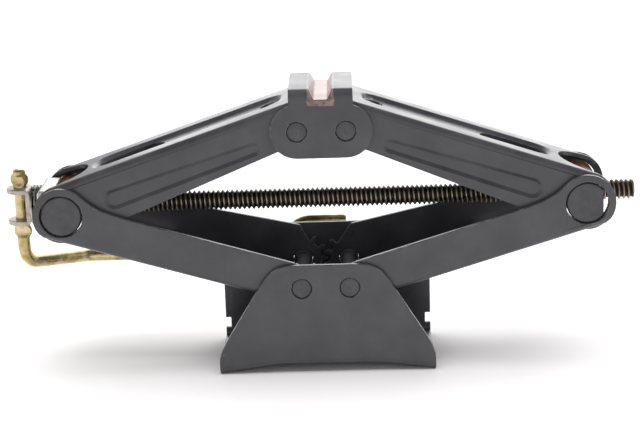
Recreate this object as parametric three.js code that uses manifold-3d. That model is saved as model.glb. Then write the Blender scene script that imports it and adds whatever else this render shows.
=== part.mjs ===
// A mechanical scissor jack in pressed steel, at its half-raised storage pose.
// Millimetres. +X runs along the lead screw, +Y points to the back, +Z is up.
// The origin is the centre of the raised middle of the sole's underside.

import * as THREE from 'three';
import { mergeVertices } from 'three/addons/utils/BufferGeometryUtils.js';
import Module from 'manifold-3d';

const wasm = await Module();
wasm.setup();

// ---- Driving dimensions -------------------------------------------------

// Linkage
const armLength = 155.5; // between the two pivots of one arm
const restAngle = THREE.MathUtils.degToRad(18.5); // each arm above the horizontal
const pinSpacing = 30; // between the two pins of the base, or of the head
const sheet = 3; // thickness of every pressed plate
const gap = 0.3; // clearance between neighbouring pieces
const bendRadius = 4.5; // outside of the arms' bends

// Widths, measured from the middle plane to an outer face
const lowerHalfWidth = 33;
const armClearance = 1.4; // between a lower arm's wall and an upper arm's

// Arms
const trunnionRadius = 12.9;
const trunnionRecess = 1.2; // of a trunnion's end below the lower arm's face
const eyeClearance = 0.5; // around a trunnion
const lowerEyeRadius = 17.7;
const lowerWebAtEye = 16.7; // pivot line to the underside of the lower web
const lowerTilt = THREE.MathUtils.degToRad(1.8); // of the lower channel to its pivot line
const lowerDepth = 25.7; // of the lower channel
const neckLength = 45; // from the lower eye to the straight top edge
const neckDip = 0.6; // of the curved neck below that edge
const neckNear = 0.45; // where the neck's curve is drawn to, as shares of its length
const neckFar = 0.6;
const backRimTaper = 0.075; // extra rise of the back wall's top edge, per length
const backRimSetback = 8.5; // of that edge's end from the pin
const upperEyeRadius = 18;
const upperRimAtEye = 18.5; // pivot line to the open edge, at the eye
const upperRimAtPin = 8.4; // and at the head pin
const lowerWebStop = 8; // the lower web ends this far short of the pin
const upperWebReach = 1.5; // and the upper web this far past it
const upperTipChamfer = 2.5;
const upperCutHalfWidth = 22.8; // of the web's cut-out at the trunnion, with a full round end
const upperCutEnd = 20.8; // from the trunnion
const lowerCutEnd = 22;
const lowerCutCorner = 6;
const slotStart = 27.5;
const slotEnd = 72;
const slotWidth = 22;
const webHoleRadius = 5.8;
const webHoleSetback = 13.5; // from the pin
const beadStart = 28;
const beadEnd = 131;
const beadStartRadius = 6.4;
const beadEndRadius = 4.4;
const beadDrop = 1.7; // the bead's middle line lies this far below the pivot line
const beadDepth = 1.6; // pressed inwards

// Meshing teeth on the pin ends of the arms
const toothModule = 2.5;
const pressureAngle = THREE.MathUtils.degToRad(20);
const addendum = 2;
const dedendum = 2.7;
const backlash = 0.7; // along the pitch circle
const firstToothAngle = THREE.MathUtils.degToRad(-30); // of a tooth's middle, from the arm's line
const lastToothAngle = THREE.MathUtils.degToRad(85);

// Pins of the base and of the head
const pinEndRadius = 6.1;
const pinShankRadius = 4.3;
const pinRecess = 0.8; // of a pin's end below the plate's face

// Base
const pinHeight = 50.7; // of the base pins above the sole's raised middle
const archHeight = 4.8; // of the sole's middle above its two ends
const archHalfLength = 32; // of the sole's raised middle
const baseHalfLength = 68;
const baseTopAbovePin = 15.2;
const baseTopHalfLength = 33;
const baseFootHeight = 14; // height over which the front wall keeps its full length
const baseCorner = 12;
const baseBend = 5;
const backTopAbovePin = 23.6;
const backCorner = 8;
const reliefDepth = 3.5; // notch in each end of the back wall
const reliefHeight = 7;
const reliefLift = 8; // of the notch above the sole's ends

// Head
const headTopAbovePin = 25.9;
const headLobeRadius = 16.7;
const headNeckHalfWidth = 19.7;
const headBend = 6;
const notchDepth = 6;
const notchTopWidth = 14.2;
const notchFloorWidth = 8.5;

// Screw and its bearing
const screwRadius = 6.45;
const screwOverhang = 33.2; // past the nut trunnion's middle
const screwTailRadius = 4;
const screwChamfer = 1;
const trunnionChamfer = 0.9;
const nutFlat = 10; // of the nut trunnion, from its middle
const blockSeat = 6; // flat of the bearing trunnion, from its middle
const blockThickness = 10.2;
const blockHalfHeight = 13;
const blockHalfWidth = 18;
const blockCorner = 2.5;
const raceRadius = 12.9;
const raceThickness = 1.2;
const ballRadius = 1.2;
const ballCount = 12;
const ballCircle = 9.9;
const cageThickness = 0.8;
const collarRadius = 10;
const collarLength = 4.5;

// Crank
const rodRadius = 4;
const yokeStrip = 3;
const yokeHalfHeight = 11.7;
const yokeHalfWidth = 9;
const yokeReach = 8.5; // of the tines' round ends past the rod's axis
const rodTop = 23.2;
const rodTurn = 38.2; // the rod's middle below the screw, where its hinge leg ends
const rodSetback = 42; // of the folded rod behind the screw
const rodDrop = 46.7; // of the folded rod below the screw
const rodDiagonal = 34.3; // run along X of the rod's sloping stretch
const gripStart = 158; // along X from the hinge leg
const gripEnd = 206;
const gripRise = 18;
const gripSetback = 48;
const rodBend = 14; // bend radius of the rod
const earHalfWidth = 5.7;
const earHalfThickness = 2.4;
const earHeight = 7;
const earStandoff = 1.6; // of an ear from the yoke

// ---- Values worked out from them ---------------------------------------

const pitchRadius = pinSpacing / 2;
const toothCount = Math.round((2 * pitchRadius) / toothModule);
const toothPitch = (2 * Math.PI) / toothCount;
const lowerInner = lowerHalfWidth - sheet;
const upperHalfWidth = lowerInner - armClearance;
const upperInner = upperHalfWidth - sheet;
const baseInner = lowerHalfWidth + gap;
const baseHalfWidth = baseInner + sheet;
const headInner = upperHalfWidth + gap;
const headHalfWidth = headInner + sheet;
const eyeHole = trunnionRadius + eyeClearance;
const pinHole = pinEndRadius + gap;
const trunnionHalfLength = lowerHalfWidth - trunnionRecess;
const screwBore = screwRadius + gap;
const farCut = 2.5 * trunnionRadius; // past every face of a trunnion or block

const trunnionX = pitchRadius + armLength * Math.cos(restAngle);
const trunnionZ = pinHeight + armLength * Math.sin(restAngle);
const headPinZ = pinHeight + 2 * armLength * Math.sin(restAngle);

// Stations of the bearing stack, from the bearing trunnion's middle along -X
const blockFace = blockSeat + gap + blockThickness;
const innerRaceFace = blockFace + gap + raceThickness;
const ballMiddle = innerRaceFace + gap + ballRadius;
const outerRaceStart = ballMiddle + ballRadius + gap;
const yokeStart = outerRaceStart + raceThickness + gap;
const yokeInner = yokeStart + yokeStrip;
const rodAxis = yokeInner + gap + rodRadius;

// ---- Materials ----------------------------------------------------------

const blackPaint = new THREE.MeshStandardMaterial({ color: 0x4b4b4f, roughness: 0.45, metalness: 0.2 });
const greyZinc = new THREE.MeshStandardMaterial({ color: 0xb5b0a5, roughness: 0.5, metalness: 0.8 });
const brightZinc = new THREE.MeshStandardMaterial({ color: 0xe8e4da, roughness: 0.4, metalness: 0.8 });
const yellowZinc = new THREE.MeshStandardMaterial({ color: 0xc8b080, roughness: 0.35, metalness: 0.9 });
const oiledSteel = new THREE.MeshStandardMaterial({ color: 0x5c554c, roughness: 0.4, metalness: 0.9 });

// ---- Geometry helpers ---------------------------------------------------

// Turns a closed geometry into a solid that can be cut and joined.
function solidOf(geometry) {
  geometry.deleteAttribute('normal');
  geometry.deleteAttribute('uv');
  const merged = mergeVertices(geometry, 1e-4);
  const vertProperties = new Float32Array(merged.attributes.position.array);
  const triVerts = new Uint32Array(merged.index.array);
  return new wasm.Manifold(new wasm.Mesh({ numProp: 3, vertProperties, triVerts }));
}

function geometryOf(solid) {
  const mesh = solid.getMesh();
  const geometry = new THREE.BufferGeometry();
  geometry.setAttribute('position', new THREE.BufferAttribute(mesh.vertProperties, 3));
  geometry.setIndex(new THREE.BufferAttribute(mesh.triVerts, 1));
  geometry.computeVertexNormals();
  return geometry;
}

// An outline in X and Z, carried along Y from y0 to y1.
function prismY(shape, y0, y1, segments = 12) {
  const options = { depth: y1 - y0, bevelEnabled: false, curveSegments: segments };
  const geometry = new THREE.ExtrudeGeometry(shape, options);
  geometry.rotateX(Math.PI / 2);
  geometry.translate(0, y1, 0);
  return solidOf(geometry);
}

// An outline in X and Y, carried along Z from z0 to z1.
function prismZ(shape, z0, z1, segments = 12) {
  const options = { depth: z1 - z0, bevelEnabled: false, curveSegments: segments };
  const geometry = new THREE.ExtrudeGeometry(shape, options);
  geometry.translate(0, 0, z0);
  return solidOf(geometry);
}

const yzToWorld = new THREE.Matrix4().makeBasis(
  new THREE.Vector3(0, 1, 0),
  new THREE.Vector3(0, 0, 1),
  new THREE.Vector3(1, 0, 0)
);

// The geometry of an outline in Y and Z, carried along X from x0 to x1.
function prismXGeometry(shape, x0, x1, steps = 1, segments = 3) {
  const options = { depth: x1 - x0, steps, bevelEnabled: false, curveSegments: segments };
  const geometry = new THREE.ExtrudeGeometry(shape, options);
  geometry.applyMatrix4(yzToWorld);
  geometry.translate(x0, 0, 0);
  return geometry;
}

function prismX(shape, x0, x1) {
  return solidOf(prismXGeometry(shape, x0, x1));
}

function box(x0, x1, y0, y1, z0, z1) {
  const geometry = new THREE.BoxGeometry(x1 - x0, y1 - y0, z1 - z0);
  geometry.translate((x0 + x1) / 2, (y0 + y1) / 2, (z0 + z1) / 2);
  return solidOf(geometry);
}

// A round bar along Y through (x, z), with chamfered ends.
function barY(radius, halfLength, x, z, chamfer = 0, segments = 24) {
  const profile = [
    new THREE.Vector2(0, -halfLength),
    new THREE.Vector2(radius - chamfer, -halfLength),
    new THREE.Vector2(radius, -halfLength + chamfer),
    new THREE.Vector2(radius, halfLength - chamfer),
    new THREE.Vector2(radius - chamfer, halfLength),
    new THREE.Vector2(0, halfLength)
  ];
  const points = chamfer > 0 ? profile : [profile[0], profile[2], profile[3], profile[5]];
  const geometry = new THREE.LatheGeometry(points, segments);
  geometry.translate(x, 0, z);
  return solidOf(geometry);
}

// A ring or disc around X, from x0 to x1.
function ringX(outer, inner, x0, x1, segments = 16) {
  const profile = [new THREE.Vector2(inner, x0), new THREE.Vector2(outer, x0)];
  profile.push(new THREE.Vector2(outer, x1), new THREE.Vector2(inner, x1));
  if (inner > 0) {
    profile.push(new THREE.Vector2(inner, x0));
  }
  const geometry = new THREE.LatheGeometry(profile, segments);
  geometry.rotateZ(-Math.PI / 2);
  return solidOf(geometry);
}

function unite(solids) {
  return solids.reduce((sum, solid) => sum.add(solid));
}

function meshOf(name, solid, material) {
  const mesh = new THREE.Mesh(geometryOf(solid), material);
  mesh.name = name;
  return mesh;
}

// ---- Outlines -----------------------------------------------------------

// A slot with round ends of different radii, between two points on one level.
function slotShape(x0, radius0, x1, radius1, y = 0) {
  const shape = new THREE.Shape();
  const lean = Math.asin((radius0 - radius1) / (x1 - x0));
  const side = Math.PI / 2 - lean;
  shape.absarc(x0, y, radius0, side, 2 * Math.PI - side, false);
  shape.absarc(x1, y, radius1, -side, side, false);
  shape.closePath();
  return shape;
}

// The U of a folded plate: two walls at the sides and a web at the bottom.
function channelShape(halfWidth, thickness, bottom, top, radius) {
  const inner = Math.max(radius - thickness, 0.5);
  const outerX = halfWidth;
  const innerX = halfWidth - thickness;
  const floor = bottom + thickness;
  const shape = new THREE.Shape();
  shape.moveTo(-outerX, top);
  shape.lineTo(-outerX, bottom + radius);
  shape.absarc(-outerX + radius, bottom + radius, radius, Math.PI, 1.5 * Math.PI, false);
  shape.absarc(outerX - radius, bottom + radius, radius, -0.5 * Math.PI, 0, false);
  shape.lineTo(outerX, top);
  shape.lineTo(innerX, top);
  shape.lineTo(innerX, floor + inner);
  shape.absarc(innerX - inner, floor + inner, inner, 0, -0.5 * Math.PI, true);
  shape.absarc(-innerX + inner, floor + inner, inner, -0.5 * Math.PI, -Math.PI, true);
  shape.lineTo(-innerX, top);
  shape.closePath();
  return shape;
}

// One involute flank point, at a radius, as its angle from the tooth's middle.
function flankAngle(radius) {
  const involute = (angle) => Math.tan(angle) - angle;
  const base = pitchRadius * Math.cos(pressureAngle);
  const halfTooth = (Math.PI * toothModule / 2 - backlash) / 2 / pitchRadius;
  const reached = Math.acos(Math.min(base / Math.max(radius, base), 1));
  return halfTooth + involute(pressureAngle) - involute(reached);
}

// Points of the teeth around a pin, from the first tooth to the last.
function toothPoints(centreX, phase) {
  const root = pitchRadius - dedendum;
  const tip = pitchRadius + addendum;
  const radii = [root, pitchRadius - addendum / 2, pitchRadius + addendum / 2, tip];
  const points = [];
  const put = (radius, angle) => {
    points.push(new THREE.Vector2(centreX + radius * Math.cos(angle), radius * Math.sin(angle)));
  };
  const onLine = restAngle + phase * toothPitch;
  const first = Math.ceil((firstToothAngle - onLine) / toothPitch);
  const last = Math.floor((lastToothAngle - onLine) / toothPitch);
  for (let tooth = first; tooth <= last; tooth += 1) {
    const middle = onLine + tooth * toothPitch;
    radii.forEach((radius) => put(radius, middle - flankAngle(radius)));
    [...radii].reverse().forEach((radius) => put(radius, middle + flankAngle(radius)));
  }
  return points;
}

// Side outlines of the arms. The trunnion is at the origin and the pin at
// (armLength, 0). The web is below, and the channel is open above. A lower
// arm's back wall rises higher towards the pin than its front wall.
function lowerArmShape(phase, atBack) {
  const slope = Math.tan(lowerTilt);
  const webAt = (x) => -lowerWebAtEye + slope * x;
  const taper = atBack ? backRimTaper : 0;
  const rimAt = (x) => webAt(x) + lowerDepth + taper * (x - neckLength);
  const rimEnd = armLength - (atBack ? backRimSetback : lowerWebStop);
  const leave = THREE.MathUtils.degToRad(60);
  const teeth = toothPoints(armLength, phase);
  const shape = new THREE.Shape();
  shape.moveTo(0, -lowerEyeRadius);
  shape.lineTo(lowerEyeRadius, webAt(lowerEyeRadius));
  shape.lineTo(armLength, webAt(armLength));
  teeth.forEach((point) => shape.lineTo(point.x, point.y));
  shape.lineTo(rimEnd, rimAt(rimEnd));
  shape.lineTo(neckLength, rimAt(neckLength));
  const dip = rimAt(neckLength) - neckDip;
  shape.bezierCurveTo(
    neckLength * neckFar, dip, neckLength * neckNear, dip,
    lowerEyeRadius * Math.cos(leave), lowerEyeRadius * Math.sin(leave)
  );
  shape.absarc(0, 0, lowerEyeRadius, leave, 1.5 * Math.PI, false);
  return shape;
}

function upperArmShape(phase) {
  const teeth = toothPoints(armLength, phase);
  const tip = armLength + upperWebReach;
  const shape = new THREE.Shape();
  shape.moveTo(0, -upperEyeRadius);
  shape.lineTo(tip, -upperEyeRadius);
  shape.lineTo(tip + upperTipChamfer, -upperRimAtPin - sheet);
  teeth.forEach((point) => shape.lineTo(point.x, point.y));
  shape.lineTo(armLength - 2 * lowerWebStop, upperRimAtPin);
  shape.lineTo(upperEyeRadius / 2, upperRimAtEye - 1);
  shape.absarc(0, 0, upperEyeRadius, Math.PI / 2, 1.5 * Math.PI, false);
  return shape;
}

// ---- Arms ---------------------------------------------------------------

// The cut-out, the long slot and the round hole of an arm's web.
function webOpenings(cut) {
  const low = -2 * upperEyeRadius;
  const high = -sheet;
  const slotRadius = slotWidth / 2;
  const far = -2 * cut.halfWidth;
  const shoulder = cut.halfWidth - cut.corner;
  const cutout = new THREE.Shape();
  cutout.moveTo(far, cut.halfWidth);
  cutout.lineTo(far, -cut.halfWidth);
  cutout.absarc(cut.end - cut.corner, -shoulder, cut.corner, -Math.PI / 2, 0, false);
  cutout.absarc(cut.end - cut.corner, shoulder, cut.corner, 0, Math.PI / 2, false);
  cutout.closePath();
  const slot = slotShape(slotStart + slotRadius, slotRadius, slotEnd - slotRadius, slotRadius);
  const holeX = armLength - webHoleSetback;
  const hole = new THREE.Shape().absarc(holeX, 0, webHoleRadius, 0, 2 * Math.PI, false);
  return unite([
    prismZ(cutout, low, high, 8),
    prismZ(slot, low, high, 7),
    prismZ(hole, low, high, 6)
  ]);
}

// A folded channel with its side outlines, its pivot holes and its web openings.
function armSolid(outline, halfWidth, webDrop, webEnd, tilt, cutout) {
  const reach = 3 * upperEyeRadius;
  const profile = channelShape(halfWidth, sheet, -webDrop, reach, bendRadius);
  const folded = prismXGeometry(profile, -reach / 2, webEnd);
  folded.rotateY(-tilt);
  const tips = [-1, 1].map((side) => {
    const faces = [side * halfWidth, side * (halfWidth - sheet)].sort((a, b) => a - b);
    return box(webEnd - gap, armLength + reach, faces[0], faces[1], -reach, reach);
  });
  const plates = unite([solidOf(folded), ...tips]);
  const cuts = [
    webOpenings(cutout),
    barY(eyeHole, 2 * halfWidth, 0, 0, 0, 28),
    barY(pinHole, 2 * halfWidth, armLength, 0, 0, 16)
  ];
  return plates.intersect(outline).subtract(unite(cuts));
}

// The back wall is on the side that `back` gives, +1 or -1 along Y.
function lowerArm(name, phase, back) {
  const cutout = { halfWidth: lowerInner, end: lowerCutEnd, corner: lowerCutCorner };
  const wide = 2 * lowerHalfWidth;
  const walls = [-1, 1].map((side) => {
    const reach = [-side * gap, side * wide].sort((a, b) => a - b);
    return prismY(lowerArmShape(phase, side === back), reach[0], reach[1], 9);
  });
  const webEnd = armLength - lowerWebStop;
  const outline = unite(walls);
  const solid = armSolid(outline, lowerHalfWidth, lowerWebAtEye, webEnd, lowerTilt, cutout);
  return meshOf(name, solid, blackPaint);
}

// The upper arms also carry a bead on each wall, pressed inwards.
function upperArm(name, phase) {
  const cutout = { halfWidth: upperCutHalfWidth, end: upperCutEnd, corner: upperCutHalfWidth };
  const outline = prismY(upperArmShape(phase), -2 * upperHalfWidth, 2 * upperHalfWidth, 9);
  const webEnd = armLength + upperWebReach;
  const solid = armSolid(outline, upperHalfWidth, upperEyeRadius, webEnd, 0, cutout);
  const bead = slotShape(
    beadStart + beadStartRadius, beadStartRadius,
    beadEnd - beadEndRadius, beadEndRadius, beadDrop
  );
  const hollow = upperHalfWidth - beadDepth;
  const crown = upperInner - beadDepth;
  const crowns = [prismY(bead, -upperInner - gap, -crown, 4), prismY(bead, crown, upperInner + gap, 4)];
  const hollows = [
    prismY(bead, -2 * upperHalfWidth, -hollow, 4),
    prismY(bead, hollow, 2 * upperHalfWidth, 4)
  ];
  return meshOf(name, unite([solid, ...crowns]).subtract(unite(hollows)), blackPaint);
}

// ---- Base ---------------------------------------------------------------

// Lifts the sole to an arch: flat in its middle, sloping down to both ends.
function bendToArch(geometry) {
  const position = geometry.attributes.position;
  for (let i = 0; i < position.count; i += 1) {
    const x = position.getX(i);
    const atEnd = Math.abs(x) > baseHalfLength / 2;
    if (atEnd) {
      position.setZ(i, position.getZ(i) - archHeight);
    } else {
      position.setX(i, Math.sign(x) * archHalfLength);
    }
  }
}

function baseFrontShape() {
  const shape = new THREE.Shape();
  const top = pinHeight + baseTopAbovePin;
  const foot = -archHeight + baseFootHeight;
  const low = -2 * archHeight;
  const side = new THREE.Vector2(baseTopHalfLength - baseHalfLength, top - foot).normalize();
  shape.moveTo(-baseHalfLength, low);
  shape.lineTo(baseHalfLength, low);
  shape.lineTo(baseHalfLength, foot - baseCorner / 2);
  shape.quadraticCurveTo(
    baseHalfLength, foot,
    baseHalfLength + side.x * baseCorner, foot + side.y * baseCorner
  );
  shape.lineTo(baseTopHalfLength - side.x * baseCorner, top - side.y * baseCorner);
  shape.quadraticCurveTo(baseTopHalfLength, top, baseTopHalfLength - baseCorner, top);
  shape.lineTo(-baseTopHalfLength + baseCorner, top);
  shape.quadraticCurveTo(
    -baseTopHalfLength, top,
    -baseTopHalfLength + side.x * baseCorner, top - side.y * baseCorner
  );
  shape.lineTo(-baseHalfLength - side.x * baseCorner, foot + side.y * baseCorner);
  shape.quadraticCurveTo(-baseHalfLength, foot, -baseHalfLength, foot - baseCorner / 2);
  shape.closePath();
  return shape;
}

function baseBackShape() {
  const shape = new THREE.Shape();
  const top = pinHeight + backTopAbovePin;
  const notch = -archHeight + reliefLift;
  const half = baseHalfLength;
  shape.moveTo(-half, -2 * archHeight);
  shape.lineTo(half, -2 * archHeight);
  shape.lineTo(half, notch);
  shape.lineTo(half - reliefDepth, notch);
  shape.lineTo(half - reliefDepth, notch + reliefHeight);
  shape.lineTo(half, notch + reliefHeight);
  shape.lineTo(half, top - backCorner);
  shape.quadraticCurveTo(half, top, half - backCorner, top);
  shape.lineTo(-half + backCorner, top);
  shape.quadraticCurveTo(-half, top, -half, top - backCorner);
  shape.lineTo(-half, notch + reliefHeight);
  shape.lineTo(-half + reliefDepth, notch + reliefHeight);
  shape.lineTo(-half + reliefDepth, notch);
  shape.lineTo(-half, notch);
  shape.closePath();
  return shape;
}

function baseBracket() {
  const tall = pinHeight + 2 * backTopAbovePin;
  const profile = channelShape(baseHalfWidth, sheet, 0, tall, baseBend);
  const folded = prismXGeometry(profile, -baseHalfLength, baseHalfLength, 3);
  bendToArch(folded);
  const wide = 2 * baseHalfWidth;
  const outline = unite([
    prismY(baseFrontShape(), -wide, 0, 5),
    prismY(baseBackShape(), -gap, wide, 5)
  ]);
  const holes = [-1, 1].map((side) => barY(pinHole, wide, side * pitchRadius, pinHeight, 0, 16));
  const solid = solidOf(folded).intersect(outline).subtract(unite(holes));
  return meshOf('base_bracket', solid, blackPaint);
}

// A pin with two thick ends and a thinner shank between the arms' walls.
function pivotPin(name, x, z, faceY, innerY) {
  const end = faceY - pinRecess;
  const shoulder = innerY - gap;
  const points = [[0, -end], [pinEndRadius, -end], [pinEndRadius, -shoulder], [pinShankRadius, -shoulder]];
  points.push([pinShankRadius, shoulder], [pinEndRadius, shoulder], [pinEndRadius, end], [0, end]);
  const profile = points.map(([radius, y]) => new THREE.Vector2(radius, y));
  const geometry = new THREE.LatheGeometry(profile, 16);
  geometry.translate(x, 0, z);
  return meshOf(name, solidOf(geometry), blackPaint);
}

// ---- Head ---------------------------------------------------------------

function headSideShape() {
  const top = headTopAbovePin;
  const rise = Math.sqrt(headLobeRadius ** 2 - (headNeckHalfWidth - pitchRadius) ** 2);
  const start = Math.atan2(rise, headNeckHalfWidth - pitchRadius);
  const wide = notchTopWidth / 2;
  const narrow = notchFloorWidth / 2;
  const shape = new THREE.Shape();
  shape.moveTo(-pitchRadius, -headLobeRadius);
  shape.absarc(pitchRadius, 0, headLobeRadius, -Math.PI / 2, start, false);
  shape.lineTo(headNeckHalfWidth, top);
  shape.lineTo(wide, top);
  shape.lineTo(narrow, top - notchDepth);
  shape.lineTo(-narrow, top - notchDepth);
  shape.lineTo(-wide, top);
  shape.lineTo(-headNeckHalfWidth, top);
  shape.absarc(-pitchRadius, 0, headLobeRadius, Math.PI - start, 1.5 * Math.PI, false);
  return shape;
}

// The plate under the notch, which carries the lifted seam.
function notchTroughShape() {
  const top = headTopAbovePin;
  const wide = notchTopWidth / 2 + sheet;
  const narrow = notchFloorWidth / 2 + sheet / 2;
  const shape = new THREE.Shape();
  shape.moveTo(-wide, top - sheet / 2);
  shape.lineTo(-wide, top - sheet);
  shape.lineTo(-narrow, top - notchDepth - sheet);
  shape.lineTo(narrow, top - notchDepth - sheet);
  shape.lineTo(wide, top - sheet);
  shape.lineTo(wide, top - sheet / 2);
  shape.closePath();
  return shape;
}

function headBracket() {
  const deep = 3 * headLobeRadius;
  const profile = channelShape(headHalfWidth, sheet, -headTopAbovePin, deep, headBend);
  const folded = prismXGeometry(profile, -deep, deep);
  folded.rotateX(Math.PI);
  const trough = prismY(notchTroughShape(), -headInner - gap, headInner + gap);
  const outline = prismY(headSideShape(), -2 * headHalfWidth, 2 * headHalfWidth, 8);
  const holes = [-1, 1].map((side) => barY(pinHole, 2 * headHalfWidth, side * pitchRadius, 0, 0, 16));
  const solid = unite([solidOf(folded), trough]).intersect(outline).subtract(unite(holes));
  const mesh = meshOf('head_bracket', solid, blackPaint);
  mesh.position.z = headPinZ;
  return mesh;
}

// ---- Trunnions, bearing and screw --------------------------------------

function bearingTrunnion() {
  const seatHalf = blockHalfWidth + gap;
  const seat = box(-farCut, -blockSeat, -seatHalf, seatHalf, -farCut, farCut);
  const collarHalf = collarRadius + gap;
  const collarSeat = box(nutFlat, farCut, -collarHalf, collarHalf, -farCut, farCut);
  const bore = ringX(screwBore, 0, -farCut, farCut);
  const solid = barY(trunnionRadius, trunnionHalfLength, 0, 0, trunnionChamfer);
  return meshOf('bearing_trunnion', solid.subtract(unite([seat, collarSeat, bore])), oiledSteel);
}

function nutTrunnion() {
  const flatHalf = 2 * trunnionHalfLength;
  const flat = box(nutFlat, farCut, -flatHalf, flatHalf, -farCut, farCut);
  const bore = ringX(screwBore, 0, -farCut, farCut);
  const solid = barY(trunnionRadius, trunnionHalfLength, 0, 0, trunnionChamfer);
  return meshOf('nut_trunnion', solid.subtract(unite([flat, bore])), oiledSteel);
}

function thrustBlock() {
  const shape = new THREE.Shape();
  const half = blockHalfHeight - blockCorner;
  const left = -blockFace;
  shape.moveTo(-blockSeat - gap, -blockHalfHeight);
  shape.lineTo(-blockSeat - gap, blockHalfHeight);
  shape.absarc(left + blockCorner, half, blockCorner, Math.PI / 2, Math.PI, false);
  shape.absarc(left + blockCorner, -half, blockCorner, Math.PI, 1.5 * Math.PI, false);
  shape.closePath();
  const block = prismY(shape, -blockHalfWidth, blockHalfWidth, 4);
  const bore = ringX(screwBore, 0, -farCut, farCut);
  return meshOf('thrust_block', block.subtract(bore), brightZinc);
}

function thrustRace(name, start) {
  const ring = ringX(raceRadius, screwBore, -start - raceThickness, -start);
  return meshOf(name, ring, greyZinc);
}

// Makes one piece at each ball's place.
function aroundBallCircle(make) {
  const pieces = [];
  for (let i = 0; i < ballCount; i += 1) {
    const angle = (2 * Math.PI * i) / ballCount;
    pieces.push(make(ballCircle * Math.cos(angle), ballCircle * Math.sin(angle), i + 1));
  }
  return pieces;
}

function thrustBalls() {
  return aroundBallCircle((y, z, number) => {
    const ball = new THREE.SphereGeometry(ballRadius, 6, 4);
    ball.translate(-ballMiddle, y, z);
    return meshOf(`thrust_ball_${number}`, solidOf(ball), brightZinc);
  });
}

function thrustCage() {
  const half = cageThickness / 2;
  const ring = ringX(raceRadius - gap, screwBore + gap, -ballMiddle - half, -ballMiddle + half);
  const pockets = aroundBallCircle((y, z) => {
    const pocket = new THREE.CylinderGeometry(ballRadius + gap, ballRadius + gap, 2, 6);
    pocket.rotateZ(Math.PI / 2);
    pocket.translate(-ballMiddle, y, z);
    return solidOf(pocket);
  });
  return meshOf('thrust_ball_cage', ring.subtract(unite(pockets)), greyZinc);
}

function leadScrew() {
  const tail = yokeInner - gap;
  const shoulder = yokeStart - gap;
  const end = 2 * trunnionX + screwOverhang;
  const tip = screwRadius - screwChamfer;
  const points = [[0, -tail], [screwTailRadius, -tail], [screwTailRadius, -shoulder]];
  points.push([screwRadius, -shoulder], [screwRadius, end - screwChamfer], [tip, end], [0, end]);
  const profile = points.map(([radius, x]) => new THREE.Vector2(radius, x));
  const geometry = new THREE.LatheGeometry(profile, 16);
  geometry.rotateZ(-Math.PI / 2);
  return meshOf('lead_screw', solidOf(geometry), oiledSteel);
}

function screwCollar() {
  const start = nutFlat + gap;
  return meshOf('screw_collar', ringX(collarRadius, screwBore, start, start + collarLength), oiledSteel);
}

// ---- Crank --------------------------------------------------------------

function crankYoke() {
  const far = rodAxis + yokeReach;
  const profile = new THREE.Shape();
  const inner = yokeHalfHeight - yokeStrip;
  profile.moveTo(-yokeStart, yokeHalfHeight - bendRadius);
  profile.quadraticCurveTo(-yokeStart, yokeHalfHeight, -yokeStart - bendRadius, yokeHalfHeight);
  profile.lineTo(-far, yokeHalfHeight);
  profile.lineTo(-far, inner);
  profile.lineTo(-yokeInner, inner);
  profile.lineTo(-yokeInner, -inner);
  profile.lineTo(-far, -inner);
  profile.lineTo(-far, -yokeHalfHeight);
  profile.lineTo(-yokeStart - bendRadius, -yokeHalfHeight);
  profile.quadraticCurveTo(-yokeStart, -yokeHalfHeight, -yokeStart, -yokeHalfHeight + bendRadius);
  profile.closePath();
  const strip = prismY(profile, -yokeHalfWidth, yokeHalfWidth, 4);
  const plan = new THREE.Shape();
  plan.moveTo(0, -yokeHalfWidth);
  plan.lineTo(0, yokeHalfWidth);
  plan.absarc(-far + yokeHalfWidth, 0, yokeHalfWidth, Math.PI / 2, 1.5 * Math.PI, false);
  plan.closePath();
  const hinge = new THREE.Shape().absarc(-rodAxis, 0, rodRadius + gap, 0, 2 * Math.PI, false);
  const cuts = unite([
    prismZ(hinge, -farCut, farCut, 10),
    ringX(screwTailRadius + gap, 0, -yokeInner - 1, -yokeStart + 1)
  ]);
  return meshOf('crank_yoke', strip.intersect(prismZ(plan, -farCut, farCut, 10)).subtract(cuts), greyZinc);
}

// Replaces each inner corner of a path by an arc-like bend.
function bentPath(points, radius) {
  const path = new THREE.CurvePath();
  let from = points[0];
  for (let i = 1; i < points.length - 1; i += 1) {
    const corner = points[i];
    const back = points[i - 1].clone().sub(corner).normalize();
    const ahead = points[i + 1].clone().sub(corner).normalize();
    const half = back.angleTo(ahead) / 2;
    const room = radius / Math.tan(half);
    const start = corner.clone().addScaledVector(back, room);
    const end = corner.clone().addScaledVector(ahead, room);
    path.add(new THREE.LineCurve3(from, start));
    path.add(new THREE.QuadraticBezierCurve3(start, corner, end));
    from = end;
  }
  path.add(new THREE.LineCurve3(from, points[points.length - 1]));
  return path;
}

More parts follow.
